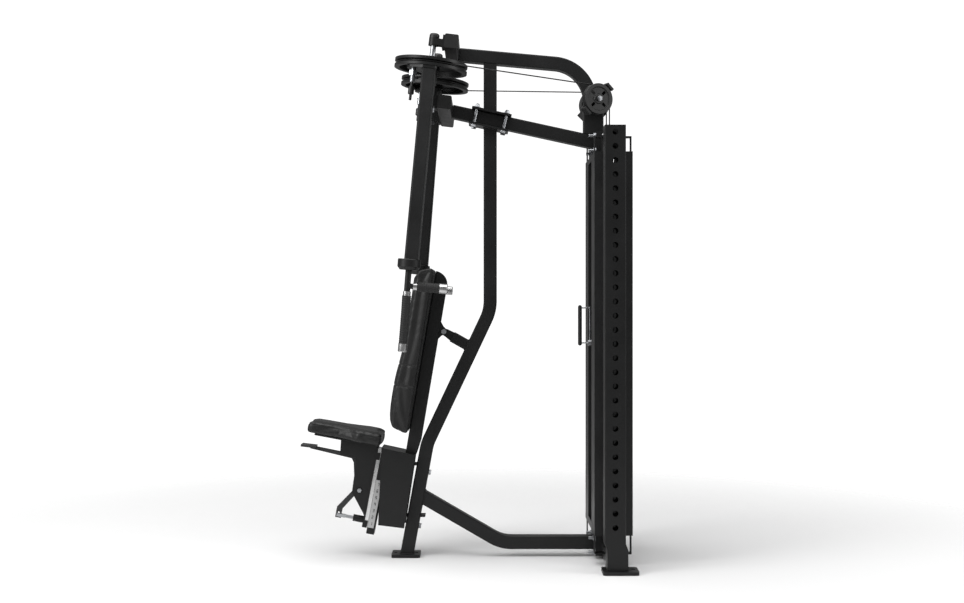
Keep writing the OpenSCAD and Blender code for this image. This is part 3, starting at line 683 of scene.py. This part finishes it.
# Place of the handle's rear bar in the handle's own frame, in mm below the pivot.
REAR_BAR = 75
for side in SIDES:
    hang = joint_frame(side + "_handle_turn")
    long_grip = turned(side + "_long_grip", ringed_profile(-277, -109, 15.2, 21, 0.9, 1.2), hang)
    rear = hang @ Matrix.Translation((0, 0, -REAR_BAR * MM)) @ Matrix.Rotation(math.radians(-90), 4, "X")
    rear_grip = turned(side + "_rear_grip", ringed_profile(34, 113, 17.2, 10, 0.8), rear)
    finish_piece(long_grip, grip_rubber, side + "_handle", 60)
    finish_piece(rear_grip, grip_rubber, side + "_handle", 60)
    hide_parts(side + "_handle_grips")
    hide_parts(side + "_handle_grips")

# %% [markdown]
# ## Welds
# Where tube meets tube or plate, the welder leaves a bead of even ripples in the corner. One bead
# is turned like a grip, with a ripple every three millimetres. Copies of it are stretched along
# the edges of each joint, which are short lists of corners, and all of them become one piece.

# %% Weld beads
BEAD = 50
RIPPLES = 16
STEPS = 4
FLANGE_TILT = math.radians(-12.3)


def bead_profile(radius, depth=0.5):
    """Heights and radii of a bead of BEAD mm with a dip between its ripples."""
    profile = [(0, 1.0)]
    for i in range(RIPPLES * STEPS):
        dip = depth * (1 - math.cos(2 * math.pi * i / STEPS)) / 2
        profile.append((BEAD * (i + 0.5) / (RIPPLES * STEPS), radius - dip))
    return profile + [(BEAD, 1.0)]


def edge(start, end):
    """The move that lays a bead from one corner to another, both in mm."""
    start, end = Vector(start) * MM, Vector(end) * MM
    turn = Vector((0, 0, 1)).rotation_difference(end - start).to_matrix().to_4x4()
    stretch = Matrix.Diagonal((1, 1, (end - start).length / (BEAD * MM), 1))
    return Matrix.Translation(start) @ turn @ stretch


def box_loop(low, high, spread=25):
    """Edges around a tube as wide as 2 x spread, whose end runs from low to high (y, z)."""
    corners = [(-spread, *low), (spread, *low), (spread, *high), (-spread, *high)]
    return list(zip(corners, corners[1:] + corners[:1]))


def flange_point(across, up):
    """The (y, z) of a point of the tilted flange joint on the upright post."""
    slope, rise = math.sin(FLANGE_TILT), math.cos(FLANGE_TILT)
    return 96 + across * rise - up * slope, 1653.5 + across * slope + up * rise


edges = box_loop((-244.3, 12), (-193.5, 12))
edges += box_loop((491, 28), (491, 78))
edges += box_loop((493, 1541.3), (493, 1592.5))
edges += box_loop((449, 1700), (525, 1700))
edges += box_loop(flange_point(-18.4, -33), flange_point(32.8, -33))
edges += box_loop(flange_point(-32.8, 33), flange_point(18.4, 33))
edges += box_loop((-159.1, 196.2), (-149.5, 248.4))
edges += box_loop((-1.9, 782.4), (15.3, 818.6), 20)
for x in (-75, 75):
    edges += [((x, 515, 13), (x, 515, 61)), ((x, 515, 1521), (x, 515, 1589))]
edges.append(((-75, 515, 62), (75, 515, 62)))

bead = turned("weld_bead", bead_profile(2.6), around=10)
beads = [copy_piece(bead, "weld_" + str(i), edge(*ends)) for i, ends in enumerate(edges)]
bpy.data.objects.remove(bead)
welds = join(beads, "frame_weld_beads")
finish_piece(welds, black_coat, "frame", 60)

# %% [markdown]
# ## Washers, bolt heads and caps
# Bolted joints sit on washers, which spread the load over the paint. The lever turns on a bolt
# with a hexagon head at each end. A moulded cap covers the nut on top of each pivot shaft. All of
# them are turned, and the bolt heads are turned with only six sides.


# %% Washers of the frame's bolts
def facing(place, direction):
    """A spot in mm, with the local Z along direction."""
    turn = Vector((0, 0, 1)).rotation_difference(Vector(direction)).to_matrix().to_4x4()
    return Matrix.Translation(Vector(place) * MM) @ turn


spots = [facing((x, 491, z), (0, -1, 0)) for x in (-58, 58) for z in (24, 78)]
spots += [facing((x, 493, z), (0, -1, 0)) for x in (-58, 58) for z in (1532, 1588)]
flange_up = Vector((0, math.sin(-FLANGE_TILT), math.cos(FLANGE_TILT)))
for x in (-36, 36):
    for across in (-57, 57):
        spots.append(facing((x, *flange_point(across, 33)), flange_up))
        spots.append(facing((x, *flange_point(across, -33)), -flange_up))
washer = turned("washer", [(0, 13), (1.5, 13), (1.9, 12.5)], around=40)
copies = [copy_piece(washer, "washer_" + str(i), spot) for i, spot in enumerate(spots)]
bpy.data.objects.remove(washer)
washers = join(copies, "frame_washers")
finish_piece(washers, zinc, "frame", 30)

# %% Lever bolt heads
lever_pivot = Vector(joints["lever_tilt"]["pos_m"]) / MM
heads = []
for side, sign in SIDES.items():
    spot = facing(lever_pivot + Vector((29 * sign, 0, 0)), (sign, 0, 0))
    heads.append(turned(side + "_lever_bolt", [(0, 9.3), (6.0, 9.3), (7.2, 8.2)], spot, around=6))
finish_piece(join(heads, "lever_bolt_heads"), zinc, "lever", 25)

# %% Caps of the pivot shafts
CAP = [(103.8, 17.6), (104.4, 18.4), (113, 18.4), (117.5, 17.4), (120.5, 14.6), (122.2, 10), (122.8, 4)]
for side in SIDES:
    cap = turned(side + "_shaft_cap", CAP, joint_frame(side + "_cam_turn"))
    finish_piece(cap, nylon, side + "_cam_unit", 40)

# %% [markdown]
# ## The cables' vertical runs
# Each cable drops from its pulley to the stack, and that run gets shorter as the stack rises. A plain round bar as
# long as the CAD run stands in for it.

# %% Cable drops
drop_low, drop_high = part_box("cable_drops")
drop_radius = (drop_high.y - drop_low.y) / 2
drops = []
for side, x in (("right", drop_low.x + drop_radius), ("left", drop_high.x - drop_radius)):
    spot = Matrix.Translation((x, drop_low.y + drop_radius, drop_low.z))
    length = (drop_high.z - drop_low.z) / MM
    profile = [(0, drop_radius / MM), (length, drop_radius / MM)]
    drops.append(turned(side + "_cable_drop", profile, spot, around=24))
drop_runs = finish_piece(join(drops, "cable_drop_runs"), cable_nylon, "frame")
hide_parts("cable_drops")
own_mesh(drop_runs)
